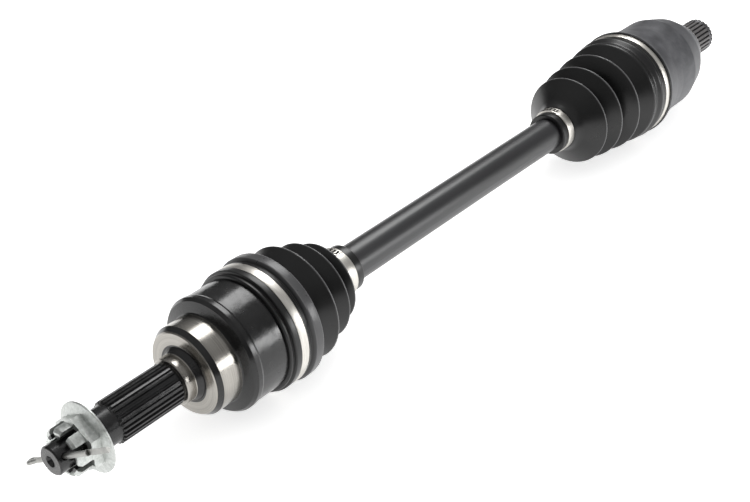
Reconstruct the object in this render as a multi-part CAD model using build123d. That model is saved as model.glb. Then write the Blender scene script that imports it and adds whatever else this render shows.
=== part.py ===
from build123d import *
import os
from math import cos, pi, radians, sin, sqrt, tan

# A front-wheel drive axle: an outer ball joint that bends a long way at the wheel end, a plain bar,
# and an inner ball joint that bends less but also slides, at the gearbox end.
# Everything lies straight along Y. The wheel end points to -Y and the gearbox end to +Y.
# All sizes are millimetres. Stations are distances from the centre of the nearer joint.

# ---------------------------------------------------------------- driving dimensions

joint_span = 462.0          # outer joint centre to inner joint centre
outer_reach = 149.0         # outer joint centre to the tip of the threaded end
inner_reach = 109.0         # inner joint centre to the end of the gearbox spline
running_gap = 0.3           # between curved faces that turn on each other
seat_gap = 0.05             # between pieces that stay put on each other

# bar
bar_r = 12.5
neck_r = 11.0               # where the bar enters a joint
neck_length = 50.0          # from a joint centre to the end of its neck
neck_taper = 9.0
bar_end_past_centre = 13.0
bar_spline_r = 12.0
bar_spline_teeth = 24

# balls and their carriers, alike in both joints
ball_r = 7.9375
ball_circle_r = 24.0
ball_count = 6
first_ball_angle = 30.0     # around the axle, up from +X
cage_outer_r = 27.0
cage_wall = 4.4
cage_half_width = 11.5
race_half_width = 8.5
race_r = cage_outer_r - cage_wall - running_gap
socket_r = cage_outer_r + running_gap
window_gap = 0.12           # ball to window, along the axle
window_side_gap = 1.35      # ball to window, around the axle
ring_thickness = 1.6        # snap rings either side of a race
ring_stand = 1.9            # how far a snap ring stands out of the bar
ring_groove_depth = 0.9
snap_ring_gap = 7.0
outer_track_gap = 0.70      # ball to track
inner_track_gap = 0.50

# outer joint housing, from the mouth of the bell to the tip of the stub
bell_r = 37.2
bell_lip_r = 37.8
bell_mouth = -14.0          # behind the joint centre
bell_front = 34.0
bell_mouth_r = 30.0
socket_edge = -8.0          # where the round socket ends and the mouth starts to flare
seat_r = 29.0
seat_length = 15.0
seat_chamfer = 2.2
disc_face = 53.0
collar_r = 15.0
collar_front = 63.3
stub_spline_r = 13.4
stub_spline_teeth = 26
stub_tooth_depth = 1.3
stub_spline_start = 64.6
stub_spline_end = 109.0
journal_r = 11.9
journal_end = 122.5
thread_r = 10.0
thread_end = 134.0
tip_r = 8.9
pin_hole_station = 144.4
pin_hole_r = 2.2

# nut and split pin
nut_across_flats = 30.0
nut_back = 123.0
nut_flange_r = 22.0
nut_flange_rim = 1.3
nut_flange_rise = 3.2       # where the dished flange runs into the hexagon
nut_hex_top = 133.0
nut_top = 141.2
nut_crown_r = 14.8
nut_slots = 8
nut_slot_angle = 31.0       # of the slot that the pin lies over
nut_slot_width = 4.6
nut_slot_depth = 8.9
nut_top_chamfer = 1.5
pin_wire_r = 1.65
pin_angle = 33.0            # around the axle, up from +X
pin_lean = 2.4              # the pin leans on the crown of the nut
pin_long_leg = 50.0
pin_short_leg = 31.5
pin_head = 30.6
pin_eye_r = 3.4             # outside of the eye
pin_eye_wire_r = 1.3

# rubber boots; a place on a boot is counted from the joint centre towards the bar
boot_wall = 2.4
clamped_wall = 2.6          # rubber under the large clamps
small_end_wall = 3.2        # rubber where a boot grips the bar
clamp_wall = 0.9
clamp_clearance = 0.1       # boot groove to clamp, along the axle
small_clamp_width = 7.0
lip_stand = 0.3
outer_clamp_start = 3.4     # first edge of the large clamp
outer_clamp_width = 6.0
outer_boot_lip = -4.8       # the outer boot reaches past the joint centre
outer_small_clamp = 76.2    # first edge of the small clamp
outer_boot_end = 90.0
inner_clamp_start = 22.5
inner_clamp_width = 4.5
inner_small_clamp = 123.1
inner_boot_end = 136.0
inner_lip_stand = 2.3       # the inner boot's lip beside its large clamp

# inner joint housing, from the mouth of the cup to the end of the spline
cup_mouth = -28.0
cup_boot_r = 38.8           # under the inner boot
cup_shoulder = -20.6
cup_shoulder_r = 43.9
cup_body_r = 38.7
cup_floor = 33.0
cup_back = 29.0             # end of the straight body
dome_end = 70.3
dome_end_r = 21.6
gear_spline_r = 14.5
gear_spline_teeth = 24
gear_tooth_depth = 1.4
gear_tooth_land = 0.48      # share of the pitch
gear_spline_start = 73.0
cup_mouth_flare = 1.6
wire_ring_station = -25.0
wire_ring_wire_r = 1.1
wire_ring_stand = 1.3
stub_clip_station = 103.0
stub_clip_wire_r = 1.0
stub_clip_groove = 0.5      # below the roots of the teeth

# ---------------------------------------------------------------- places that follow from them

overall = outer_reach + joint_span + inner_reach
outer_centre = -overall / 2 + outer_reach
inner_centre = overall / 2 - inner_reach
cage_inner_r = cage_outer_r - cage_wall
small_end_r = bar_r + small_end_wall
outer_seat_r = bell_r + clamped_wall        # outside of the outer boot under its large clamp
inner_seat_r = cup_boot_r + clamped_wall    # outside of the inner boot under its large clamp
inner_lip_r = inner_seat_r + inner_lip_stand
stub_root_r = stub_spline_r - stub_tooth_depth
gear_root_r = gear_spline_r - gear_tooth_depth
nut_corner_r = nut_across_flats / 2 / cos(pi / 6)
ball_angles = [first_ball_angle + 360 / ball_count * n for n in range(ball_count)]


def outer(station):
    """A place on the axle, counted from the outer joint centre towards the wheel."""
    return outer_centre - station


def inner(station):
    """A place on the axle, counted from the inner joint centre towards the gearbox."""
    return inner_centre + station


# ---------------------------------------------------------------- shapes used again and again

def turned(outline):
    """A solid turned about the axle. A corner is (place along the axle, radius, rounding if any)."""
    ahead = outline[1:] + outline[:1]
    twice_area = sum(a[1] * b[0] - b[1] * a[0] for a, b in zip(outline, ahead))
    if twice_area < 0:
        outline = outline[::-1]
    corners = [(corner[1], corner[0]) for corner in outline]
    rounding = [corner[2] if len(corner) > 2 else 0 for corner in outline]
    return revolve(make_face(FilletPolyline(*corners, radius=rounding, close=True)), Axis.Y)


def globe(place, radius):
    """A ball centred on the axle, with its poles on the axle."""
    return Pos(0, place, 0) * Rot(90, 0, 0) * Sphere(radius)


def drum(start, end, radius):
    """A plain cylinder on the axle between two places."""
    return turned([(start, 0), (start, radius), (end, radius), (end, 0)])


def around(angle):
    """Turns a shape about the axle, so that +X goes towards +Z."""
    return Rot(0, -angle, 0)


def tooth_outline(tip_r, teeth, depth, spread=0.0, land=0.34):
    """The section of a splined shaft, square to the axle. Spread makes a bore that clears it.

    Land is the share of the pitch that the flat top of a tooth takes."""
    pitch = 2 * pi / teeth
    points = []
    for tooth in range(teeth):
        foot = land / 2 + 0.17
        for share, radius in ((-foot, -depth), (-land / 2, 0), (land / 2, 0), (foot, -depth)):
            r = tip_r + radius + spread
            side = spread / r * (1 if share > 0 else -1)
            a = (tooth + share) * pitch + side
            points.append((r * cos(a), r * sin(a)))
    return make_face(Polyline(*points, close=True))


def splined(start, end, tip_r, teeth, depth, chamfer=0.9, land=0.34):
    """A splined length of shaft with its ends turned down to the roots of the teeth."""
    low, high = min(start, end), max(start, end)
    foot = Plane(origin=(0, low, 0), z_dir=(0, 1, 0))
    teeth_solid = extrude(foot * tooth_outline(tip_r, teeth, depth, land=land), high - low)
    ends = turned([(low, 0), (low, tip_r - chamfer), (low + chamfer, tip_r + 0.1),
                   (high - chamfer, tip_r + 0.1), (high, tip_r - chamfer), (high, 0)])
    return teeth_solid & ends


def ring_groove(place, width, floor_r, outside_r):
    """A cutter for a groove around a shaft."""
    cutter = drum(place - width / 2, place + width / 2, outside_r + 1)
    return cutter - drum(place - width, place + width, floor_r)


def open_ring(place, inside_r, outside_r, width, gap_angle, gap):
    """A flat snap ring, open on one side."""
    ring = drum(place - width / 2, place + width / 2, outside_r)
    ring -= drum(place - width, place + width, inside_r)
    cut = Pos(outside_r, place, 0) * Box(outside_r, 2 * width, gap)
    return ring - around(gap_angle) * cut


def open_wire_ring(place, mean_r, wire_r, gap_angle, gap_degrees):
    """A round-wire ring, open on one side."""
    section = Pos(mean_r, place) * Circle(wire_r)
    return around(gap_angle + gap_degrees / 2) * revolve(section, Axis.Y, -(360 - gap_degrees))


# ---------------------------------------------------------------- joint innards

def balls(centre):
    return [around(a) * Pos(ball_circle_r, centre, 0) * Sphere(ball_r) for a in ball_angles]


def ball_cage(centre):
    """A round shell with a window for each ball."""
    cage = globe(centre, cage_outer_r) - globe(centre, cage_inner_r)
    cage &= drum(centre - cage_half_width, centre + cage_half_width, cage_outer_r + 1)
    high = 2 * (ball_r + window_side_gap)
    long = 2 * (ball_r + window_gap)
    window = extrude(Plane.YZ * RectangleRounded(long, high, ball_r * 0.8), cage_outer_r + 1)
    for a in ball_angles:
        cage -= around(a) * Pos(cage_inner_r / 2, centre, 0) * window
    return cage


def round_tracks(centre, track_r, start, end):
    """Ball tracks that curve about the joint centre, from one tilt to another, one cutter each."""
    section = Plane(origin=(ball_circle_r, 0, 0), z_dir=(0, 1, 0)) * Circle(track_r)
    track = revolve(Rot(0, 0, start) * section, Axis.Z, end - start)
    return [around(a) * Pos(0, centre, 0) * track for a in ball_angles]


def straight_tracks(start, end, track_r):
    """Ball tracks that run along the axle, one cutter each."""
    length = end - start
    track = Pos(ball_circle_r, (start + end) / 2, 0) * Rot(90, 0, 0) * Cylinder(track_r, length)
    return [around(a) * track for a in ball_angles]


def race(centre, tracks):
    """The ball race that sits on the bar's spline."""
    body = globe(centre, race_r) & drum(centre - race_half_width, centre + race_half_width, race_r + 1)
    for track in tracks:
        body -= track
    bore = tooth_outline(bar_spline_r, bar_spline_teeth, bar_spline_r - neck_r, seat_gap)
    start = centre - 2 * race_half_width
    return body - extrude(Plane(origin=(0, start, 0), z_dir=(0, 1, 0)) * bore, 4 * race_half_width)


def ring_place(side):
    """Centre of a snap ring beside a race, from the joint centre."""
    return side * (race_half_width + seat_gap + ring_thickness / 2)


# ---------------------------------------------------------------- bar

def axle_bar():
    ends = (outer(bar_end_past_centre), inner(bar_end_past_centre))
    bar = turned([
        (ends[0], 0), (ends[0], neck_r - 0.8), (ends[0] + 0.8, neck_r),
        (outer(-neck_length), neck_r, 4), (outer(-neck_length - neck_taper), bar_r, 4),
        (inner(-neck_length - neck_taper), bar_r, 4), (inner(-neck_length), neck_r, 4),
        (ends[1] - 0.8, neck_r), (ends[1], neck_r - 0.8), (ends[1], 0),
    ])
    reach = race_half_width + seat_gap + ring_thickness + 1.2
    for centre in (outer_centre, inner_centre):
        depth = bar_spline_r - neck_r
        bar += splined(centre - reach, centre + reach, bar_spline_r, bar_spline_teeth, depth, 0.6)
        for side in (-1, 1):
            bar -= ring_groove(centre + ring_place(side), ring_thickness + 2 * seat_gap,
                               neck_r - ring_groove_depth, bar_r)
    return bar


def snap_ring(centre, side, gap_angle):
    inside_r = neck_r - ring_groove_depth + seat_gap
    outside_r = bar_spline_r + ring_stand
    return open_ring(centre + ring_place(side), inside_r, outside_r, ring_thickness, gap_angle, snap_ring_gap)


# ---------------------------------------------------------------- outer joint

def outer_joint_housing():
    """Bell, bearing seat, splined stub and threaded tip, forged in one piece."""
    root = stub_root_r
    body = turned([
        (outer(bell_mouth), 0), (outer(bell_mouth), bell_r - 0.6), (outer(bell_mouth + 0.6), bell_r),
        (outer(bell_front - 8.5), bell_r), (outer(bell_front - 7), bell_lip_r),
        (outer(bell_front - 4), bell_lip_r), (outer(bell_front - 1.8), bell_lip_r - 1.6),
        (outer(bell_front), seat_r + 0.8), (outer(bell_front + 0.6), seat_r),
        (outer(bell_front + seat_length), seat_r),
        (outer(disc_face - 0.6), seat_r - seat_chamfer), (outer(disc_face), seat_r - seat_chamfer - 0.7),
        (outer(disc_face), collar_r + 2.4), (outer(disc_face + 0.6), collar_r + 2.2, 0.3),
        (outer(disc_face + 4), collar_r, 1), (outer(collar_front - 0.7), collar_r),
        (outer(collar_front), collar_r - 0.7), (outer(collar_front), root), (outer(stub_spline_end + 0.5), root),
        (outer(stub_spline_end + 1.2), journal_r), (outer(journal_end - 0.5), journal_r),
        (outer(journal_end), journal_r - 0.5), (outer(journal_end), thread_r - 0.2),
        (outer(thread_end), thread_r - 0.2), (outer(thread_end + 1), tip_r),
        (outer(outer_reach - 0.9), tip_r), (outer(outer_reach), tip_r - 0.9), (outer(outer_reach), 0),
    ])
    body += splined(outer(stub_spline_end), outer(stub_spline_start), stub_spline_r, stub_spline_teeth,
                    stub_tooth_depth)
    body -= globe(outer_centre, socket_r)
    edge_r = sqrt(socket_r ** 2 - socket_edge ** 2)
    body -= turned([
        (outer(0), 0), (outer(0), edge_r - 1), (outer(socket_edge), edge_r),
        (outer(bell_mouth), bell_mouth_r), (outer(bell_mouth - 1), bell_mouth_r), (outer(bell_mouth - 1), 0),
    ])
    for track in round_tracks(outer_centre, ball_r + outer_track_gap, -42, 75):
        body -= track
    centre_drill = turned([
        (outer(outer_reach + 1), 0), (outer(outer_reach + 1), 4.1), (outer(outer_reach - 3.2), 1.6),
        (outer(outer_reach - 7), 1.6), (outer(outer_reach - 8), 0),
    ])
    pin_hole = Pos(0, outer(pin_hole_station), 0) * Rot(0, 90, 0) * Cylinder(pin_hole_r, 4 * tip_r)
    return body - centre_drill - around(pin_angle) * pin_hole


def axle_nut():
    """Castle nut with a dished flange, a hexagon and a round slotted crown."""
    flange = turned([
        (outer(nut_back), 0), (outer(nut_back), nut_flange_r - 0.4), (outer(nut_back + 0.4), nut_flange_r),
        (outer(nut_back + nut_flange_rim), nut_flange_r, 0.5),
        (outer(nut_back + nut_flange_rise), nut_corner_r - 1, 1), (outer(nut_back + nut_flange_rise + 1), 0),
    ])
    top = Plane(origin=(0, outer(nut_hex_top), 0), z_dir=(0, 1, 0))
    hexagon = extrude(top * RegularPolygon(nut_corner_r, 6), nut_hex_top - nut_back - 1)
    chamfer_rise = (nut_corner_r - nut_crown_r) * tan(radians(20))
    hexagon &= turned([
        (outer(nut_back), 0), (outer(nut_back), nut_corner_r + 1),
        (outer(nut_hex_top - chamfer_rise), nut_corner_r), (outer(nut_hex_top), nut_crown_r),
        (outer(nut_hex_top), 0),
    ])
    crown = turned([
        (outer(nut_hex_top - 2), 0), (outer(nut_hex_top - 2), nut_crown_r),
        (outer(nut_top - nut_top_chamfer), nut_crown_r, 0.5), (outer(nut_top), nut_crown_r - nut_top_chamfer),
        (outer(nut_top), 0),
    ])
    flat_angle = 30 + pin_angle
    nut = flange + around(flat_angle) * hexagon + crown
    nut -= drum(outer(nut_back - 1), outer(nut_top + 1), thread_r)
    nut -= turned([(outer(nut_back - 1), 0), (outer(nut_back - 1), thread_r + 2.4), (outer(nut_back + 1.4), thread_r),
                   (outer(nut_back + 1.4), 0)])
    slot = Pos(nut_crown_r, outer(nut_top - nut_slot_depth / 2 + 1), 0)
    slot *= Box(2 * nut_crown_r, nut_slot_depth + 2, nut_slot_width)
    for n in range(nut_slots):
        nut -= around(nut_slot_angle + 360 / nut_slots * n) * slot
    return nut


def rod(start, end, radius):
    """A straight round rod between two points, with round ends."""
    line = Line(start, end)
    from_start = (Align.CENTER, Align.CENTER, Align.MIN)
    shaft = Plane(origin=start, z_dir=line % 0) * Cylinder(radius, line.length, align=from_start)
    return shaft + Pos(*start) * Sphere(radius) + Pos(*end) * Sphere(radius)


def cotter_pin():
    """Half-round wire folded on itself: an eye, one long leg and one short leg."""
    throat = -pin_head + 2 * pin_eye_r + 4.6
    legs_start = throat - 1.5
    legs = Pos((pin_long_leg + legs_start) / 2, 0, 0) * Rot(0, 90, 0)
    legs *= Cylinder(pin_wire_r, pin_long_leg - legs_start)
    split = Pos(throat + 2 * pin_long_leg, 0, 0) * Box(4 * pin_long_leg, 0.2, 4 * pin_wire_r)
    shortened = Pos(pin_short_leg + pin_long_leg, -pin_wire_r, 0)
    shortened *= Box(2 * pin_long_leg, 2 * pin_wire_r, 4 * pin_wire_r)
    pin = legs - split - shortened
    eye_place = -pin_head + pin_eye_r
    bend_r = pin_eye_r - pin_eye_wire_r
    pin += Pos(eye_place, 0, 0) * Torus(bend_r, pin_eye_wire_r)
    across = pin_wire_r - pin_eye_wire_r
    for side in (-1, 1):
        shoulder = (eye_place + bend_r * cos(pi / 3), side * bend_r * sin(pi / 3), 0)
        pin += rod(shoulder, (throat - 1, side * across, 0), pin_eye_wire_r)
    pin = Rot(0, 0, pin_lean) * pin
    return around(pin_angle) * Pos(0, outer(pin_hole_station), 0) * pin


# ---------------------------------------------------------------- boots and clamps

def bellows(outside, seat_r, seat_end, bore_r, bore_start):
    """A boot turned from its outside corners, with the inside one wall further in.

    The outside runs from the large end to the small end. The large end sits on seat_r as far as
    seat_end, and the small end grips bore_r from bore_start on."""
    folds = [c for c in outside if min(seat_end, bore_start) < c[0] < max(seat_end, bore_start)]
    inside = [(c[0], c[1] - boot_wall, c[2] if len(c) > 2 else 0) for c in reversed(folds)]
    first, last = outside[0], outside[-1]
    corners = list(outside)
    corners += [(last[0], bore_r), (bore_start, bore_r)]
    corners += inside
    corners += [(seat_end, seat_r), (first[0], seat_r)]
    return turned(corners)


def outer_boot():
    clamp_end = outer_clamp_start + outer_clamp_width
    groove_start = outer_clamp_start - clamp_clearance
    groove_end = clamp_end + clamp_clearance
    grip_start = outer_small_clamp - clamp_clearance
    grip_end = outer_small_clamp + small_clamp_width + clamp_clearance
    lip_r = small_end_r + lip_stand
    return bellows([
        (outer(-outer_boot_lip), outer_seat_r - 1.4, 0.4), (outer(1), outer_seat_r + 1, 1.2),
        (outer(-groove_start + 0.1), outer_seat_r + 1), (outer(-groove_start), outer_seat_r),
        (outer(-groove_end), outer_seat_r), (outer(-groove_end - 0.1), outer_seat_r + 1),
        (outer(-clamp_end - 3), outer_seat_r + 0.9, 1), (outer(-15.6), outer_seat_r + 2.5, 3),
        (outer(-20.5), outer_seat_r + 2.5, 2.5), (outer(-29), outer_seat_r - 6.3, 2.5),
        (outer(-39), outer_seat_r - 1.2, 2.2), (outer(-47.5), small_end_r + 12.3, 2.2),
        (outer(-56), small_end_r + 17.2, 2), (outer(-62), small_end_r + 7.3, 1.8),
        (outer(-67.5), small_end_r + 11.6, 1.8), (outer(-74), small_end_r + 1.5, 1.2),
        (outer(-grip_start + 0.1), lip_r, 0.3), (outer(-grip_start), small_end_r),
        (outer(-grip_end), small_end_r), (outer(-grip_end - 0.1), lip_r),
        (outer(-outer_boot_end + 0.4), lip_r, 0.6), (outer(-outer_boot_end), lip_r - 0.9),
    ], bell_r + seat_gap, outer(-16.5), bar_r + seat_gap, outer(-grip_start + 1.1))


def inner_boot():
    clamp_end = inner_clamp_start + inner_clamp_width
    groove_start = inner_clamp_start - clamp_clearance
    groove_end = clamp_end + clamp_clearance
    grip_start = inner_small_clamp - clamp_clearance
    grip_end = inner_small_clamp + small_clamp_width + clamp_clearance
    lip_r = small_end_r + lip_stand
    return bellows([
        (inner(-21), inner_lip_r - 0.2), (inner(-21.2), inner_lip_r), (inner(-groove_start + 0.1), inner_lip_r),
        (inner(-groove_start), inner_seat_r), (inner(-groove_end), inner_seat_r),
        (inner(-groove_end - 0.1), inner_seat_r + 0.7), (inner(-30), inner_seat_r + 0.9, 1),
        (inner(-34.5), inner_seat_r + 2.2, 2), (inner(-39), inner_seat_r + 0.9, 2),
        (inner(-44.5), inner_seat_r + 1.3, 2.5), (inner(-56), inner_seat_r - 8, 2.5),
        (inner(-65), inner_seat_r - 1.8, 2), (inner(-77), small_end_r + 13.8, 2.2),
        (inner(-88), small_end_r + 21, 2), (inner(-97), small_end_r + 11.8, 2.2),
        (inner(-105), small_end_r + 19, 2.2), (inner(-117), small_end_r + 3.8, 3),
        (inner(-122.5), small_end_r + 1.3, 1), (inner(-grip_start + 0.1), lip_r),
        (inner(-grip_start), small_end_r), (inner(-grip_end), small_end_r), (inner(-grip_end - 0.1), lip_r),
        (inner(-inner_boot_end + 0.4), lip_r, 0.6), (inner(-inner_boot_end), lip_r - 0.9),
    ], cup_boot_r + seat_gap, inner(cup_mouth - 2), bar_r + seat_gap, inner(-grip_start + 2))


def clamp_band(start, width, inside_r, rise, ear_angle, ear_stand, ear_length):
    """A stainless band closed by a pinched ear."""
    low, high = start, start + width
    band = turned([(low, inside_r), (low, inside_r + clamp_wall), (high, inside_r + clamp_wall + rise),
                   (high, inside_r)])
    middle = low + width / 2
    ear_width = width * 0.62
    top = inside_r + clamp_wall + ear_stand
    ear = Pos((inside_r + top) / 2 + 0.2, middle, 0) * Box(top - inside_r - 0.4, ear_width, ear_length)
    ear = fillet(ear.edges().filter_by(Axis.Y).sort_by(Axis.X)[-2:], min(0.45 * ear_stand, 0.3 * ear_length))
    hollow = Box(ear_stand * 0.55, width, ear_length * 0.45)
    ear -= Pos(inside_r + ear_stand * 0.3 + clamp_wall, middle, 0) * hollow
    return band + around(ear_angle) * ear


# ---------------------------------------------------------------- inner joint

def inner_joint_housing():
    """Cup with straight ball tracks and a splined stub, forged in one piece."""
    root = gear_root_r
    body = turned([
        (inner(cup_mouth), 0), (inner(cup_mouth), cup_boot_r - 0.6), (inner(cup_mouth + 0.6), cup_boot_r),
        (inner(cup_shoulder), cup_boot_r), (inner(cup_shoulder), cup_shoulder_r - 0.3),
        (inner(cup_shoulder + 0.3), cup_shoulder_r), (inner(cup_shoulder + 4), cup_shoulder_r - 1.3, 6),
        (inner(cup_shoulder + 18), cup_body_r + 1.1, 20), (inner(cup_shoulder + 29), cup_body_r, 15),
        (inner(cup_back), cup_body_r, 4), (inner(cup_back + 19.5), 33.4, 12),
        (inner(dome_end - 0.9), dome_end_r + 0.9, 0.5), (inner(dome_end), dome_end_r), (inner(dome_end), root),
        (inner(inner_reach - 1.5), root), (inner(inner_reach), root - 1.2), (inner(inner_reach), 0),
    ])
    body += splined(inner(gear_spline_start), inner(inner_reach - 1), gear_spline_r, gear_spline_teeth,
                    gear_tooth_depth, 1.2, gear_tooth_land)
    bore = turned([
        (inner(cup_mouth - 1), 0), (inner(cup_mouth - 1), socket_r + cup_mouth_flare),
        (inner(cup_mouth + 1.2), socket_r),
        (inner(cup_floor - 5), socket_r, 3), (inner(cup_floor), socket_r - 6), (inner(cup_floor), 0),
    ])
    body -= bore
    for track in straight_tracks(inner(cup_mouth - 1), inner(cup_floor - 5), ball_r + inner_track_gap):
        body -= track
    wire_groove_r = socket_r - wire_ring_stand + 2 * wire_ring_wire_r + seat_gap
    groove_half = wire_ring_wire_r + seat_gap
    body -= drum(inner(wire_ring_station - groove_half), inner(wire_ring_station + groove_half), wire_groove_r)
    clip_width = 2 * (stub_clip_wire_r + seat_gap)
    return body - ring_groove(inner(stub_clip_station), clip_width, root - stub_clip_groove, gear_spline_r)


def inner_retaining_ring():
    """Round-wire ring in the mouth of the cup that keeps the cage from sliding out."""
    mean_r = socket_r - wire_ring_stand + wire_ring_wire_r
    return open_wire_ring(inner(wire_ring_station), mean_r, wire_ring_wire_r, 250, 12)


def inner_stub_clip():
    """Round-wire clip that snaps into the gearbox's side gear."""
    mean_r = gear_root_r - stub_clip_groove + seat_gap + stub_clip_wire_r
    return open_wire_ring(inner(stub_clip_station), mean_r, stub_clip_wire_r, 200, 14)


# ---------------------------------------------------------------- build every piece

parts = {
    "axle_bar": axle_bar(),
    "outer_joint_housing": outer_joint_housing(),
    "outer_joint_race": race(outer_centre, round_tracks(outer_centre, ball_r + outer_track_gap, -60, 60)),
    "outer_ball_cage": ball_cage(outer_centre),
    "outer_race_circlip": snap_ring(outer_centre, -1, 90),
    "outer_race_stop_ring": snap_ring(outer_centre, 1, 270),
    "axle_nut": axle_nut(),
    "cotter_pin": cotter_pin(),
    "outer_boot": outer_boot(),
    "outer_boot_large_clamp": clamp_band(outer(-outer_clamp_start), outer_clamp_width,
                                         outer_seat_r + seat_gap, 0.1, 190, 2.6, 9),
    "outer_boot_small_clamp": clamp_band(outer(-outer_small_clamp), small_clamp_width,
                                         small_end_r + seat_gap, 0, 78, 2.4, 7),
    "inner_joint_housing": inner_joint_housing(),
    "inner_joint_race": race(inner_centre, straight_tracks(inner(-20), inner(20), ball_r + inner_track_gap)),
    "inner_ball_cage": ball_cage(inner_centre),
    "inner_race_circlip": snap_ring(inner_centre, 1, 90),
    "inner_race_stop_ring": snap_ring(inner_centre, -1, 270),
    "inner_boot": inner_boot(),
    "inner_boot_large_clamp": clamp_band(inner(-inner_clamp_start - inner_clamp_width), inner_clamp_width,
                                         inner_seat_r + seat_gap, 0.8, 190, 1.2, 9),
    "inner_boot_small_clamp": clamp_band(inner(-inner_small_clamp - small_clamp_width), small_clamp_width,
                                         small_end_r + seat_gap, 0, 78, 2.4, 7),
    "inner_retaining_ring": inner_retaining_ring(),
    "inner_stub_clip": inner_stub_clip(),
}
for name, centre in (("outer", outer_centre), ("inner", inner_centre)):
    for number, ball in enumerate(balls(centre), start=1):
        parts[f"{name}_ball_{number}"] = ball

os.makedirs("parts", exist_ok=True)
for name, solid in parts.items():
    export_step(solid, f"parts/{name}.step")
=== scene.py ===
# %% [markdown]
# # A front wheel drive axle
# The axle has a ball joint at the wheel end, a plain steel bar, and a sliding ball joint at the gearbox
# end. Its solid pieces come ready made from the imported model, in metres, lying along Y with the wheel
# end towards -Y. This notebook gives the metal its finishes, and makes the parts that bend or that want
# finer shapes: the two rubber boots and the four steel clamps.

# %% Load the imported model
import bmesh
import bpy
from math import atan2, degrees, pi, radians
from mathutils import Matrix, Vector


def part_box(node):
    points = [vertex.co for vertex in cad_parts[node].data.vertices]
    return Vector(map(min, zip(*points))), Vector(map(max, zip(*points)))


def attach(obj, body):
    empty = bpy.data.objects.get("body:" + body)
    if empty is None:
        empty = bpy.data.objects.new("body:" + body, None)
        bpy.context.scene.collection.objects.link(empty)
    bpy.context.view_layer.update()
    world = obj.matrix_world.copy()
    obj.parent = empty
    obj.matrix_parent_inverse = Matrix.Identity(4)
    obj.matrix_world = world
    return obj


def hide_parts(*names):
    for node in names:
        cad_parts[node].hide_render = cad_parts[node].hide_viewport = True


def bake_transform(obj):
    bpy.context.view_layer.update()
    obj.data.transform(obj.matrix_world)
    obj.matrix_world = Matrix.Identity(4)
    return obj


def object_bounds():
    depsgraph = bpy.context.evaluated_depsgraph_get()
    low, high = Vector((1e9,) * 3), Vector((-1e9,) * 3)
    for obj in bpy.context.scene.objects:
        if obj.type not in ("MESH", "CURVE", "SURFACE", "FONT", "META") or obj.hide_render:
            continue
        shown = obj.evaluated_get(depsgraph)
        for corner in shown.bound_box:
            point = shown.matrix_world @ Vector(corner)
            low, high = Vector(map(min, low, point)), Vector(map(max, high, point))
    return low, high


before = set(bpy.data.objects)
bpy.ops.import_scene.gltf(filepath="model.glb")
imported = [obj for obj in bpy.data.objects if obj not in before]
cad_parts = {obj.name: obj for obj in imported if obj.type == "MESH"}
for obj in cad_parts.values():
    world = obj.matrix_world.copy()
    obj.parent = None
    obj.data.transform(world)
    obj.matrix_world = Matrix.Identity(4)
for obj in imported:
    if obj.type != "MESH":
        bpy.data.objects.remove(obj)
cad_low, cad_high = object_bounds()
print("pieces", len(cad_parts), "box", [round(v, 4) for v in (*cad_low, *cad_high)])

# %% [markdown]
# Everything on a drive axle is counted from the centres of its two joints, because the boots and the
# clamps are made to fit round them. The wheel end's race and the gearbox end's race sit on those
# centres, so their boxes give the two places.

# %% Joint centres


def middle_along_axle(node):
    low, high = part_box(node)
    return (low.y + high.y) / 2


MM = 0.001
outer_centre = middle_along_axle("outer_joint_race")
inner_centre = middle_along_axle("inner_joint_race")
print("joint centres at", round(outer_centre, 4), round(inner_centre, 4))


def outer(station):
    """A place counted in millimetres from the wheel end's joint towards the wheel."""
    return outer_centre - station * MM


def inner(station):
    """A place counted in millimetres from the gearbox end's joint towards the gearbox."""
    return inner_centre + station * MM


# %% [markdown]
# A finish is a small tree of nodes around one Principled shader. Real metal and rubber are never one
# flat colour, so each finish starts from noise read at the piece's own Object coordinates. These stay
# with the piece, wherever it turns. The helpers below add one node each, so that the finishes
# themselves stay short to read.

# %% Helpers for finishes


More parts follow.
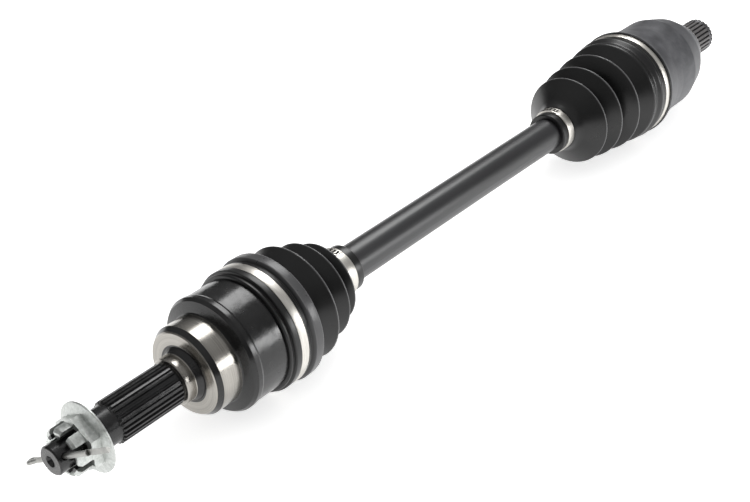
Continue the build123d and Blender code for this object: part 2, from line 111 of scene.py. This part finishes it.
class Finish:
    """A material with one Principled shader, and short names for the nodes it is built from."""

    def __init__(self, name, roughness, metallic=0.0):
        self.material = bpy.data.materials.new(name)
        self.material.use_nodes = True
        self.tree = self.material.node_tree
        self.shader = self.tree.nodes["Principled BSDF"]
        self.shader.inputs["Roughness"].default_value = roughness
        self.shader.inputs["Metallic"].default_value = metallic
        self.place = self.node("ShaderNodeTexCoord").outputs["Object"]

    def node(self, kind, **settings):
        made = self.tree.nodes.new(kind)
        for key, value in settings.items():
            setattr(made, key, value)
        return made

    def join(self, source, target):
        """Links a socket into another, or sets a plain value there."""
        if isinstance(source, bpy.types.NodeSocket):
            self.tree.links.new(source, target)
        else:
            target.default_value = source

    def math(self, operation, a, b=0.0, c=0.0):
        made = self.node("ShaderNodeMath", operation=operation)
        for socket, value in zip(made.inputs, (a, b, c)):
            self.join(value, socket)
        return made.outputs[0]

    def noise(self, scale, detail=3.0, roughness=0.5, place=None, stretch=None):
        source = place or self.place
        if stretch:
            mapping = self.node("ShaderNodeMapping")
            mapping.inputs["Scale"].default_value = stretch
            self.join(source, mapping.inputs["Vector"])
            source = mapping.outputs[0]
        made = self.node("ShaderNodeTexNoise")
        self.join(source, made.inputs["Vector"])
        made.inputs["Scale"].default_value = scale
        made.inputs["Detail"].default_value = detail
        made.inputs["Roughness"].default_value = roughness
        return made.outputs["Fac"]

    def ramp(self, factor, stops, interpolation="LINEAR"):
        """Turns a number into a colour: stops are (place from 0 to 1, colour or grey)."""
        made = self.node("ShaderNodeValToRGB")
        band = made.color_ramp
        band.interpolation = interpolation
        while len(band.elements) < len(stops):
            band.elements.new(1.0)
        for element, (place, colour) in zip(band.elements, stops):
            grey = not isinstance(colour, tuple)
            element.position = place
            element.color = (colour, colour, colour, 1) if grey else (*colour, 1)
        self.join(factor, made.inputs["Fac"])
        return made.outputs["Color"]

    def mix(self, factor, a, b):
        """Colour a where the factor is 0, colour b where it is 1."""
        made = self.node("ShaderNodeMix", data_type="RGBA")
        for socket, value in ((made.inputs[0], factor), (made.inputs[6], a), (made.inputs[7], b)):
            self.join((*value, 1) if isinstance(value, tuple) else value, socket)
        return made.outputs[2]

    def along(self):
        """Distance along the axle, and distance out from it."""
        split = self.node("ShaderNodeSeparateXYZ")
        self.join(self.place, split.inputs[0])
        x, y, z = split.outputs
        out = self.math("SQRT", self.math("ADD", self.math("MULTIPLY", x, x), self.math("MULTIPLY", z, z)))
        return y, out

    def between(self, value, low, high, edge=0.0001):
        """1 between two limits and 0 outside them, with a short soft edge."""
        inside = []
        for a, b in ((value, low), (high, value)):
            slope = self.math("DIVIDE", self.math("SUBTRACT", a, b), edge)
            inside.append(self.math("MAXIMUM", self.math("SMOOTH_MIN", 1.0, slope, 0.2), 0.0))
        return self.math("MULTIPLY", *inside)

    def lathe_lines(self, y, out, scale=1.0):
        """Fine rings such as a turning tool leaves. They change along the axle and outwards only."""
        rings = self.node("ShaderNodeCombineXYZ")
        self.join(y, rings.inputs[0])
        self.join(out, rings.inputs[1])
        return self.noise(2600 * scale, 2.0, 0.6, place=rings.outputs[0])

    def bump(self, height, strength, distance):
        made = self.node("ShaderNodeBump")
        made.inputs["Strength"].default_value = strength
        made.inputs["Distance"].default_value = distance
        self.join(height, made.inputs["Height"])
        self.join(made.outputs[0], self.shader.inputs["Normal"])

    def set(self, **sockets):
        """Sets or links the shader's own sockets; an underscore stands for a space."""
        for name, value in sockets.items():
            self.join(value, self.shader.inputs[name.replace("_", " ")])
        return self


finishes = {}
print("finish helpers ready")

# %% [markdown]
# The wheel end's housing is one forging, but it doesn't look like one piece. Most of it is black, with
# the slightly rough skin that a forging keeps. The seat for the wheel sensor's ring, the disc in front
# of it and the collar are turned to size after blacking, so they are bright. Because each of these
# surfaces lies at its own distance along the axle, a mask made from that distance tells them apart.

# %% Finish of the wheel end's housing
bell = Finish("black_forging_with_turned_seat", 0.3)
y, out = bell.along()
seat = bell.between(y, outer(49.2), outer(34.7))
disc_place = bell.between(y, outer(53.3), outer(52.3))
disc = bell.math("MULTIPLY", disc_place, bell.between(out, 18.5 * MM, 28 * MM))
collar = bell.between(y, outer(63.4), outer(56.6))
tip_place = bell.between(y, outer(149.2), outer(148.7))
end_face = bell.math("MULTIPLY", tip_place, bell.between(out, 4.3 * MM, 9.5 * MM, 0.3 * MM))
bright = bell.math("MINIMUM", 1.0, bell.math("ADD", seat, bell.math("ADD", disc, collar)))
skin = bell.noise(140, 4, 0.6)
grain = bell.noise(900, 2, 0.5)
rings = bell.lathe_lines(y, out)
blacks = [(0.3, (0.004, 0.004, 0.0042)), (0.6, (0.007, 0.007, 0.0073)), (0.75, (0.012, 0.012, 0.0125))]
black = bell.ramp(skin, blacks)
gunmetal = bell.ramp(grain, [(0.3, (0.040, 0.039, 0.038)), (0.7, (0.062, 0.06, 0.058))])
black = bell.mix(end_face, black, gunmetal)
greys = [(0.25, (0.25, 0.24, 0.22)), (0.5, (0.34, 0.325, 0.30)), (0.8, (0.44, 0.42, 0.39))]
steel = bell.ramp(rings, greys)
rough_black = bell.ramp(skin, [(0.3, 0.15), (0.7, 0.3)])
rough_steel = bell.ramp(rings, [(0.2, 0.17), (0.8, 0.28)])
bell.set(Base_Color=bell.mix(bright, black, steel), Metallic=bright, Specular_IOR_Level=0.5)
bell.set(Roughness=bell.mix(bright, rough_black, rough_steel))
forged = bell.math("ADD", skin, bell.math("MULTIPLY", grain, 0.3))
height = bell.mix(bright, forged, bell.math("MULTIPLY", rings, 0.12))
bell.bump(height, 0.35, 0.2 * MM)
finishes["outer_joint_housing"] = bell
print("bright zones between", round(outer(63.4), 4), "and", round(outer(34.7), 4))

# %% [markdown]
# The gearbox end's housing has a grey phosphate coat instead, dull and slightly mottled. The rim at the
# small end of its dome is bare turned steel, and its light colour also serves as a painted highlight on that
# edge. The spline is dark between its teeth and at its end.

# %% Finish of the gearbox end's housing
cup = Finish("grey_phosphate", 0.5)
y, out = cup.along()
# turned steel and painted highlight: the rim band is light bare steel, also standing in for the highlight on
# its edge
rim_and_painted_highlight = cup.between(y, inner(66.8), inner(71.5))
stub = cup.between(y, inner(71.6), inner(120))
stub_end = cup.between(y, inner(106.6), inner(120), 0.6 * MM)
mottle = cup.noise(60, 6, 0.68)
speck = cup.noise(700, 2, 0.5)
rings = cup.lathe_lines(y, out, 0.6)
greys = [(0.32, (0.046, 0.047, 0.051)), (0.5, (0.075, 0.076, 0.082)), (0.68, (0.115, 0.116, 0.123))]
coat = cup.ramp(mottle, greys)
bare_steel_and_painted_highlight = cup.ramp(rings, [(0.2, (0.42, 0.41, 0.39)), (0.8, (0.62, 0.61, 0.58))])
tooth_tops = cup.between(out, 13.6 * MM, 16 * MM, 0.5 * MM)
teeth = cup.ramp(tooth_tops, [(0.0, (0.012, 0.012, 0.013)), (1.0, (0.12, 0.115, 0.115))])
teeth = cup.mix(stub_end, teeth, (0.008, 0.008, 0.009))
colour = cup.mix(stub, cup.mix(rim_and_painted_highlight, coat, bare_steel_and_painted_highlight), teeth)
metal = cup.math("ADD", cup.math("MULTIPLY", rim_and_painted_highlight, 0.95), 0.25)
cup.set(Base_Color=colour, Metallic=metal)
dull = cup.ramp(mottle, [(0.3, 0.42), (0.7, 0.56)])
turned = cup.ramp(rings, [(0.2, 0.22), (0.8, 0.34)])
cup.set(Roughness=cup.mix(rim_and_painted_highlight, dull, turned))
cup.bump(cup.math("ADD", cup.math("MULTIPLY", speck, 0.5), mottle), 0.25, 0.2 * MM)
finishes["inner_joint_housing"] = cup
print("grey coat ends at", round(inner(66.8), 4))

# %% [markdown]
# The bar is sprayed with a dark satin paint. Paint on a long bar shows very shallow waves along its
# length, which stretch its highlight into a soft streak. The noise is therefore stretched along Y.

# %% Finish of the bar
paint = Finish("dark_satin_paint", 0.34)
streak = paint.noise(30, 4, 0.55, stretch=(1, 0.12, 1))
dust = paint.noise(1200, 2, 0.5)
paint.set(Base_Color=paint.ramp(streak, [(0.3, (0.014, 0.014, 0.015)), (0.7, (0.024, 0.024, 0.026))]))
paint.set(Roughness=paint.ramp(streak, [(0.3, 0.3), (0.7, 0.4)]), Coat_Weight=0.2, Coat_Roughness=0.3)
paint.bump(paint.math("ADD", streak, paint.math("MULTIPLY", dust, 0.2)), 0.12, 0.2 * MM)
finishes["axle_bar"] = paint

# %% [markdown]
# The nut is zinc plated: a cool white metal whose crystals show as a fine mottle. Its slots look black,
# because they open onto the blackened thread and lie in deep shade, so the nut's faces near the axle
# get painted shade. Distance out from the axle is enough to mark them.

# %% Finish of the nut and of its pin
zinc = Finish("bright_zinc", 0.3, 0.9)
y, out = zinc.along()
crystals = zinc.noise(420, 4, 0.65)
flake = zinc.noise(1700, 2, 0.6)
greys = [(0.3, (0.42, 0.44, 0.42)), (0.55, (0.58, 0.60, 0.58)), (0.75, (0.74, 0.76, 0.74))]
plated = zinc.ramp(crystals, greys)
# painted shade: faces nearer the axle than 11.6 mm are near black and not metallic, for the shade in the
# slots
outside_painted_slot_shade = zinc.between(out, 11.6 * MM, 30 * MM, 0.5 * MM)
zinc.set(Base_Color=zinc.mix(outside_painted_slot_shade, (0.012, 0.012, 0.012), plated))
zinc.set(Metallic=zinc.math("MULTIPLY", outside_painted_slot_shade, 0.85))
zinc.set(Roughness=zinc.ramp(crystals, [(0.3, 0.3), (0.7, 0.46)]))
zinc.bump(zinc.math("ADD", crystals, zinc.math("MULTIPLY", flake, 0.5)), 0.2, 0.15 * MM)
finishes["axle_nut"] = zinc

wire = Finish("drawn_wire", 0.34, 0.9)
drawn = wire.noise(800, 3, 0.6, stretch=(0.2, 1, 0.2))
wire.set(Base_Color=wire.ramp(drawn, [(0.3, (0.24, 0.24, 0.23)), (0.7, (0.40, 0.40, 0.38))]))
wire.set(Roughness=wire.ramp(drawn, [(0.3, 0.28), (0.7, 0.42)]))
wire.bump(drawn, 0.15, 0.1 * MM)
finishes["cotter_pin"] = wire
print("nut and pin finished")

# %% [markdown]
# The parts inside the joints are hidden while the axle is whole, but somebody may lift the boots off.
# Races and cages are ground, balls are polished, and the snap rings are oiled spring steel.

# %% Finishes of the pieces inside


def inside_steel(name, dark, light, roughness, scale):
    made = Finish(name, roughness, 1.0)
    tone = made.noise(scale, 3, 0.6)
    made.set(Base_Color=made.ramp(tone, [(0.3, dark), (0.7, light)]))
    made.set(Roughness=made.ramp(tone, [(0.3, roughness * 0.85), (0.7, roughness * 1.25)]))
    made.bump(tone, 0.1, 0.1 * MM)
    return made


ground = inside_steel("ground_race_steel", (0.40, 0.40, 0.41), (0.56, 0.56, 0.57), 0.28, 500)
polished = inside_steel("polished_ball_steel", (0.66, 0.66, 0.68), (0.76, 0.76, 0.78), 0.08, 60)
spring = inside_steel("oiled_spring_steel", (0.10, 0.10, 0.11), (0.2, 0.2, 0.21), 0.35, 700)
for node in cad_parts:
    if "_race_" in node or "retaining" in node or "stub_clip" in node:
        finishes[node] = spring
    elif "_ball_" in node and "cage" not in node:
        finishes[node] = polished
    elif node.endswith("_race") or node.endswith("_cage"):
        finishes[node] = ground
print("finishes for", len(finishes), "ready made pieces")

# %% [markdown]
# A ready made piece keeps its mesh, and only the material in its slot changes. Its round faces are split
# into flat facets.

# %% Put the finishes on
for node, finish in finishes.items():
    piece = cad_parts[node]
    if not piece.data.materials:
        piece.data.materials.append(finish.material)
    for slot in piece.material_slots:
        slot.material = finish.material
print("finished", len(finishes), "pieces")

# %% [markdown]
# ## Rubber boots
# A boot is a bellows: a thin rubber wall in a zigzag, with narrow crests and wider valleys, so that one
# side can open while the other closes. It is turned, so half its section is drawn as a few corners,
# those corners are rounded, and the line is spun about the axle. Drawing the section is quicker and
# truer than scaling rings by hand.

# %% Spin a section about the axle


def section(bm, corners):
    """A chain of edges through corners (place, radius in mm, rounding in mm), each corner rounded off."""
    points = [bm.verts.new((radius * MM, place, 0)) for place, radius, rounding in corners]
    for a, b in zip(points, points[1:]):
        bm.edges.new((a, b))
    for point, (place, radius, rounding) in zip(points, corners):
        if rounding:
            bmesh.ops.bevel(bm, geom=[point], offset=rounding * MM, offset_type="OFFSET", segments=5,
                            profile=0.5, affect="VERTICES", material=-1, clamp_overlap=True)


def spin(bm, steps, start=0.0, turn=2 * pi):
    whole = abs(turn - 2 * pi) < 1e-6
    if start:
        bmesh.ops.rotate(bm, cent=(0, 0, 0), matrix=Matrix.Rotation(-start, 3, "Y"), verts=bm.verts[:])
    bmesh.ops.spin(bm, geom=bm.verts[:] + bm.edges[:], cent=(0, 0, 0), axis=(0, -1, 0), dvec=(0, 0, 0),
                   angle=turn, steps=steps, use_merge=whole, use_duplicate=False)
    bmesh.ops.remove_doubles(bm, verts=bm.verts[:], dist=1e-6)
    bmesh.ops.recalc_face_normals(bm, faces=bm.faces[:])


def new_piece(name, bm, materials, corner=35):
    """Makes the object, shaded smooth except where its faces meet at more than the corner angle."""
    mesh = bpy.data.meshes.new(name)
    bm.to_mesh(mesh)
    bm.free()
    for material in materials:
        mesh.materials.append(material)
    mesh.shade_smooth()
    mesh.set_sharp_from_angle(angle=radians(corner))
    piece = bpy.data.objects.new(name, mesh)
    bpy.context.scene.collection.objects.link(piece)
    return piece


print("section and spin helpers ready")

# %% [markdown]
# Moulded rubber is black with a faint bloom. On the crests a thin paler line is painted in as a painted
# highlight. That line has to follow the crest when the boot bends, so it is stored on the mesh as a number
# per point, named for the crest, and the finish reads it back.

# %% Finish of the rubber
rubber = Finish("moulded_black_rubber", 0.36)
bloom = rubber.noise(45, 4, 0.6)
pores = rubber.noise(1500, 2, 0.5)
painted_crest_highlight = rubber.node("ShaderNodeAttribute", attribute_name="painted_crest_highlight").outputs["Fac"]
base = rubber.ramp(bloom, [(0.3, (0.0035, 0.0035, 0.0036)), (0.7, (0.0065, 0.0065, 0.0067))])
# painted highlight: the crest value mixes the black rubber towards pale grey along each crest
rubber.set(Base_Color=rubber.mix(rubber.math("MULTIPLY", painted_crest_highlight, 0.9), base, (0.15, 0.15, 0.154)))
rubber.set(Roughness=rubber.ramp(bloom, [(0.3, 0.26), (0.7, 0.36)]), Specular_IOR_Level=0.45)
rubber.bump(rubber.math("ADD", pores, rubber.math("MULTIPLY", bloom, 0.4)), 0.12, 0.15 * MM)
print("rubber ready")

# %% [markdown]
# A boot is one closed section, spun. Its outside is listed corner by corner, and the inside of the
# bellows is the same line moved in towards the axle, so that one list gives both sides of the wall.

# %% Make a boot


BOOT_WALL = 2.4
CREST_HIGHLIGHT_WIDTH = 0.9 * MM
PAINTED_SHEEN_LEVEL = 0.2
bar_r, bell_r, cup_r = 12.55, 37.25, 38.85


def inside_of(outside):
    """The same corners one wall nearer to the axle, and in the opposite order."""
    return [(place, radius - BOOT_WALL, max(rounding, 0.4)) for place, radius, rounding in reversed(outside)]


def boot(name, corners, crests, band=None, steps=160):
    """A closed bellows: the last corners run back along the inside of the wall.

    Crests are points that carry a thin painted highlight line. A band is a stretch (from, to, least radius)
    that gets a faint painted sheen all over."""
    bm = bmesh.new()
    section(bm, corners)
    ends = [v for v in bm.verts if len(v.link_edges) == 1]
    if len(ends) == 2:
        bm.edges.new(ends)
    line = bm.verts.layers.float.new("painted_crest_highlight")
    for vertex in bm.verts:
        # painted highlight: points within the line's width of a crest get a pale value
        for place, radius in crests:
            near = (Vector((vertex.co.x, vertex.co.y)) - Vector((radius * MM, place))).length
            vertex[line] = max(vertex[line], 1 - near / CREST_HIGHLIGHT_WIDTH)
        # painted sheen: points on the band's top get a faint pale value
        if band and min(band[:2]) < vertex.co.y < max(band[:2]) and vertex.co.x > band[2] * MM:
            vertex[line] = max(vertex[line], PAINTED_SHEEN_LEVEL)
    spin(bm, steps)
    made = new_piece(name, bm, [rubber.material])
    print(name, len(made.data.polygons), "faces")
    return made


print("boot wall", BOOT_WALL, "mm")

# %% [markdown]
# The wheel end's boot starts on the bell, bulges into a broad ridge behind its clamp, and steps down
# in three narrow ridges to the bar. It bends as the wheel steers.

# %% The wheel end's boot
outer_outline = [
    (outer(4.8), 38.5, 0.3), (outer(4.2), 39.5, 0.4), (outer(2.9), 39.5, 0.3), (outer(2.6), 38.9, 0.2),
    (outer(1.6), 38.9, 0.2), (outer(1.1), 40.8, 0.5), (outer(-3.2), 40.8, 0.15), (outer(-3.3), 39.8, 0.1),
    (outer(-9.5), 39.8, 0.1), (outer(-9.6), 40.8, 0.2), (outer(-11), 40.7, 0.3), (outer(-11.9), 39.6, 0.4),
    (outer(-13.2), 39.7, 0.4), (outer(-14.8), 42.3, 0.6), (outer(-21), 42.2, 0.6), (outer(-28.5), 30, 2.4),
    (outer(-39), 39.1, 1.6), (outer(-46.5), 24.5, 2.2), (outer(-56), 33.4, 1.5), (outer(-61.5), 20.5, 1.8),
    (outer(-67.5), 27.8, 1.2), (outer(-74), 17.2, 1.0), (outer(-76), 16, 0.1), (outer(-76.1), 15.7, 0.05),
    (outer(-83.3), 15.7, 0.05), (outer(-83.4), 16, 0.1), (outer(-89.6), 16, 0.4), (outer(-90), 15.1, 0.2),
    (outer(-90), bar_r, 0), (outer(-75), bar_r, 0.3),
]
outer_outline += inside_of(outer_outline[13:22]) + [(outer(-16.5), bell_r, 0), (outer(4.8), bell_r, 0)]
broad_ridge = [(outer(-15), 42.1), (outer(-20.9), 42.0)]
outer_crests = broad_ridge + [(outer(-39), 38.4), (outer(-56), 32.7), (outer(-67.5), 27.3)]
# the band over the broad ridge's top carries a faint painted sheen
outer_boot = boot("outer_boot_rubber", outer_outline, outer_crests, (outer(-15), outer(-20.9), 42))
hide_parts("outer_boot")
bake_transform(outer_boot)

# %% [markdown]
# The gearbox end's boot has to bend and to shorten as the joint slides. It is made in two halves that
# meet at the bottom of a valley.

# %% The gearbox end's boot
split_place, split_r = inner(-75.5), 25.5        # bottom of the valley where the halves meet
large_half = [
    (split_place, split_r, 0), (inner(-65.5), 40.6, 1.6), (inner(-55), 30.5, 2.4),
    (inner(-45), 42.6, 2.2), (inner(-39.5), 40.6, 1.6), (inner(-34), 43.5, 1.6), (inner(-30), 41.9, 0.8),
    (inner(-27.2), 42.1, 0.1), (inner(-27.1), 41.4, 0.05), (inner(-22.4), 41.4, 0.05),
    (inner(-22.3), 43.7, 0.1), (inner(-21.2), 43.7, 0.1), (inner(-21), 43.5, 0), (inner(-21), cup_r, 0),
    (inner(-30), cup_r, 0.2),
]
large_half += inside_of(large_half[1:4]) + [(split_place, split_r - BOOT_WALL, 0)]
small_half = [
    (split_place, split_r, 0), (inner(-87.2), 38.1, 1.6), (inner(-95), 23.5, 2.2),
    (inner(-105.3), 35.3, 1.4), (inner(-117), 19.5, 2.6), (inner(-122.5), 17, 0.6),
    (inner(-122.9), 16, 0.1), (inner(-123), 15.7, 0.05), (inner(-130.2), 15.7, 0.05),
    (inner(-130.3), 16, 0.1), (inner(-135.6), 16, 0.4), (inner(-136), 15.1, 0.2),
    (inner(-136), bar_r, 0), (inner(-121), bar_r, 0.3),
]
small_half += inside_of(small_half[1:5]) + [(split_place, split_r - BOOT_WALL, 0)]
inner_crests = [(inner(-65.5), 39.9), (inner(-87.2), 37.3), (inner(-105.3), 34.6)]
boot_at_cup = boot("inner_boot_rubber_at_cup", large_half, inner_crests)
boot_at_bar = boot("inner_boot_rubber_at_bar", small_half, inner_crests)
for half in (boot_at_cup, boot_at_bar):
    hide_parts("inner_boot")
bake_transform(boot_at_cup)
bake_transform(boot_at_bar)

# %% [markdown]
# ## Steel clamps
# Each boot is held by a large and a small clamp of stainless strip. The strip runs once round the boot,
# laps over itself, and hooks into windows in its own end. The strip and the lap are spun from the same
# small section. The windows are pressed into the lap's faces and coloured near black as painted shade in
# the openings, and the hooks are raised in them.

# %% Finishes of the clamps
strip = Finish("stainless_strip", 0.3, 1.0)
brushing = strip.noise(3200, 2, 0.6, stretch=(0.05, 1, 0.05))
handled = strip.noise(90, 3, 0.6)
greys = [(0.25, (0.50, 0.48, 0.44)), (0.55, (0.64, 0.62, 0.58)), (0.8, (0.74, 0.72, 0.68))]
strip.set(Base_Color=strip.ramp(brushing, greys))
strip.set(Roughness=strip.ramp(handled, [(0.3, 0.3), (0.7, 0.44)]))
strip.bump(strip.math("ADD", brushing, strip.math("MULTIPLY", handled, 0.3)), 0.2, 0.12 * MM)

# painted shade: near black for the pressed window faces, standing in for the shade inside open windows
painted_window_shade = Finish("window_painted_shade", 0.5, 0.3)
painted_shade_tone = painted_window_shade.noise(600, 3, 0.6)
painted_window_shade.set(Base_Color=painted_window_shade.ramp(painted_shade_tone, [(0.3, (0.012, 0.012, 0.012)), (0.7, (0.03, 0.03, 0.028))]))
painted_window_shade.set(Roughness=painted_window_shade.ramp(painted_shade_tone, [(0.3, 0.4), (0.7, 0.6)]))
print("clamp finishes ready")

# %% Make a clamp


def strip_section(bm, low, high, inside_r, thickness, rise=0.0, margin=0.0):
    """The strip's section: an oblong with rolled edges. A margin leaves room beside a window."""
    outside_r = inside_r + thickness
    corners = [(low, inside_r), (low, outside_r), (high, outside_r + rise), (high, inside_r)]
    if margin:
        corners[2:2] = [(low + margin, outside_r), (high - margin, outside_r + rise)]
    points = [bm.verts.new((radius * MM, place, 0)) for place, radius in corners]
    for a, b in zip(points, points[1:] + points[:1]):
        bm.edges.new((a, b))
    bmesh.ops.bevel(bm, geom=[points[1], points[-2]], offset=0.2 * MM, offset_type="OFFSET", segments=3,
                    profile=0.5, affect="VERTICES", material=-1, clamp_overlap=True)


def angle_of(point):
    """Degrees around the axle, from +X towards +Z."""
    return degrees(atan2(point.z, point.x)) % 360


def press(bm, faces, radius, rise):
    """Pushes faces straight out from the axle, or in where the rise is negative. Returns those faces."""
    grown = bmesh.ops.extrude_face_region(bm, geom=faces)["geom"]
    moved = [g for g in grown if isinstance(g, bmesh.types.BMFace)]
    share = (radius + rise) / radius
    bmesh.ops.scale(bm, vec=(share, 1, share), verts=list({v for f in moved for v in f.verts}))
    left = [f for f in faces if f.is_valid]
    if left:
        bmesh.ops.delete(bm, geom=left, context="FACES_ONLY")
    return moved


STRIP_THICKNESS, LAP_LIFT, LAP_THICKNESS = 0.9, 0.6, 0.8
WINDOW_DEPTH, HOOK_RISE = 0.5, 0.9


def clamp(name, low, width, inside_r, rise, lap_from, lap_to, windows, body):
    """A closed strip with a lap on top. Windows are (middle in degrees, length in degrees)."""
    high = low + width * MM
    strip_mesh = bmesh.new()
    strip_section(strip_mesh, low, high, inside_r, STRIP_THICKNESS, rise)
    spin(strip_mesh, 144)
    lap = bmesh.new()
    edge = 0.12 * MM
    lap_inside = inside_r + LAP_LIFT + rise
    lap_top = lap_inside + LAP_THICKNESS
    strip_section(lap, low + edge, high - edge, lap_inside, LAP_THICKNESS, 0, 0.2 * width * MM)
    spin(lap, int(lap_to - lap_from), radians(lap_from), radians(lap_to - lap_from))
    bmesh.ops.holes_fill(lap, edges=[e for e in lap.edges if e.is_boundary], sides=0)
    bmesh.ops.recalc_face_normals(lap, faces=lap.faces[:])
    for middle, length in windows:
        chosen = []
        for face in lap.faces:
            centre = face.calc_center_median()
            outside = Vector((centre.x, centre.z)).length > (lap_top - 0.1) * MM
            inner_row = abs(centre.y - (low + high) / 2) < 0.1 * width * MM
            if outside and inner_row and abs(angle_of(centre) - middle) < length / 2:
                chosen.append(face)
        pressed = press(lap, chosen, lap_top, -WINDOW_DEPTH)
        for face in pressed:
            # the window faces take the painted shade
            face.material_index = 1
        hook = [f for f in pressed if 0 < middle - angle_of(f.calc_center_median()) < length / 4]
        for face in press(lap, hook, lap_top - WINDOW_DEPTH, HOOK_RISE):
            face.material_index = 0
    whole = bpy.data.meshes.new("lap")
    lap.to_mesh(whole)
    strip_mesh.from_mesh(whole)
    lap.free()
    bpy.data.meshes.remove(whole)
    made = new_piece(name, strip_mesh, [strip.material, painted_window_shade.material])
    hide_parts(name.replace("_strip", ""))
    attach(made, body)
    print(name, len(made.data.polygons), "faces, lap from", lap_from, "to", lap_to)
    return made


small_windows = [(88, 14), (108, 16), (127, 12)]
large_windows = [(262, 6), (272, 6), (281, 5)]
clamp("outer_boot_large_clamp_strip", outer(-3.4), 6.0, 39.85, 0.1, 250, 290, large_windows, "outer_joint")
clamp("inner_boot_large_clamp_strip", inner(-27), 4.5, 41.45, 0.6, 250, 290, large_windows, "inner_joint")
clamp("outer_boot_small_clamp_strip", outer(-76.2), 7.0, 15.75, 0.0, 80, 140, small_windows, "bar")
clamp("inner_boot_small_clamp_strip", inner(-130.1), 7.0, 15.75, 0.0, 80, 140, small_windows, "bar")

# %% [markdown]
# ## Studio
# The axle lies on a plain pale floor, which gives a little light of its own, so that shadows on it stay
# faint. One soft light stands to the right, where it draws the bright patches on the turned steel, and
# one hangs high behind the bar. A large one above lights the floor evenly, and is kept out of
# reflections. The sky fades from mid grey overhead to dark at the horizon, and the steel mirrors that.

# %% Floor
ground_sheet = bmesh.new()
bmesh.ops.create_grid(ground_sheet, x_segments=8, y_segments=8, size=4.0)
bmesh.ops.translate(ground_sheet, verts=ground_sheet.verts[:], vec=(0, 0, cad_low.z - 0.5 * MM))
pale = Finish("pale_floor", 0.8)
cloud = pale.noise(3, 2, 0.5)
pale.set(Base_Color=pale.ramp(cloud, [(0.3, (0.90, 0.90, 0.90)), (0.7, (0.93, 0.93, 0.93))]))
pale.set(Emission_Color=(0.9, 0.9, 0.9, 1), Emission_Strength=0.75)
floor = new_piece("studio_floor", ground_sheet, [pale.material])
print("floor at", round(cad_low.z, 4))

# %% Lights
world = bpy.data.worlds.new("studio")
bpy.context.scene.world = world
world.use_nodes = True
sky = world.node_tree
direction = sky.nodes.new("ShaderNodeTexCoord").outputs["Generated"]
height = sky.nodes.new("ShaderNodeSeparateXYZ")
sky.links.new(direction, height.inputs[0])
shade = sky.nodes.new("ShaderNodeValToRGB")
for element, (place, grey) in zip(shade.color_ramp.elements, ((0.05, 0.06), (0.75, 0.45))):
    element.position = place
    element.color = (grey, grey, grey, 1)
sky.links.new(height.outputs["Z"], shade.inputs["Fac"])
sky.links.new(shade.outputs["Color"], sky.nodes["Background"].inputs["Color"])
sky.nodes["Background"].inputs["Strength"].default_value = 1.0
bpy.context.scene.view_settings.view_transform = "Standard"


def soft_light(name, place, aim, width, height, power):
    lamp = bpy.data.lights.new(name, "AREA")
    lamp.shape, lamp.size, lamp.size_y, lamp.energy = "RECTANGLE", width, height, power
    made = bpy.data.objects.new(name, lamp)
    bpy.context.scene.collection.objects.link(made)
    made.location = place
    made.rotation_euler = (Vector(aim) - Vector(place)).to_track_quat("-Z", "Y").to_euler()
    print(name, "at", place)
    return made


soft_light("right_softbox", (1.5, 0.95, 0.35), (0, -0.1, 0), 0.4, 0.55, 9)
soft_light("top_softbox", (-0.5, 0.9, 1.4), (0, 0, 0), 0.8, 0.8, 14)
fill = soft_light("floor_fill", (0, 0, 2.6), (0, 0, 0), 4.0, 4.0, 34)
fill.visible_glossy = False

# %% [markdown]
# The camera stands at the wheel end, above and to the right of it, and looks along the bar. A long lens
# keeps the two joints near to their true proportions.

# %% Camera
LOOKS_DOWN, LOOKS_LEFT = 32.897, 39.376

camera = bpy.data.objects.new("camera", bpy.data.cameras.new("camera"))
bpy.context.scene.collection.objects.link(camera)
camera.data.sensor_width = 36
camera.data.lens = 62.4
camera.location = (0.45737, -0.64852, 0.46388)
camera.rotation_euler = (radians(90 - LOOKS_DOWN), 0, radians(LOOKS_LEFT))
bpy.context.scene.camera = camera
print("camera looks down", LOOKS_DOWN, "degrees")
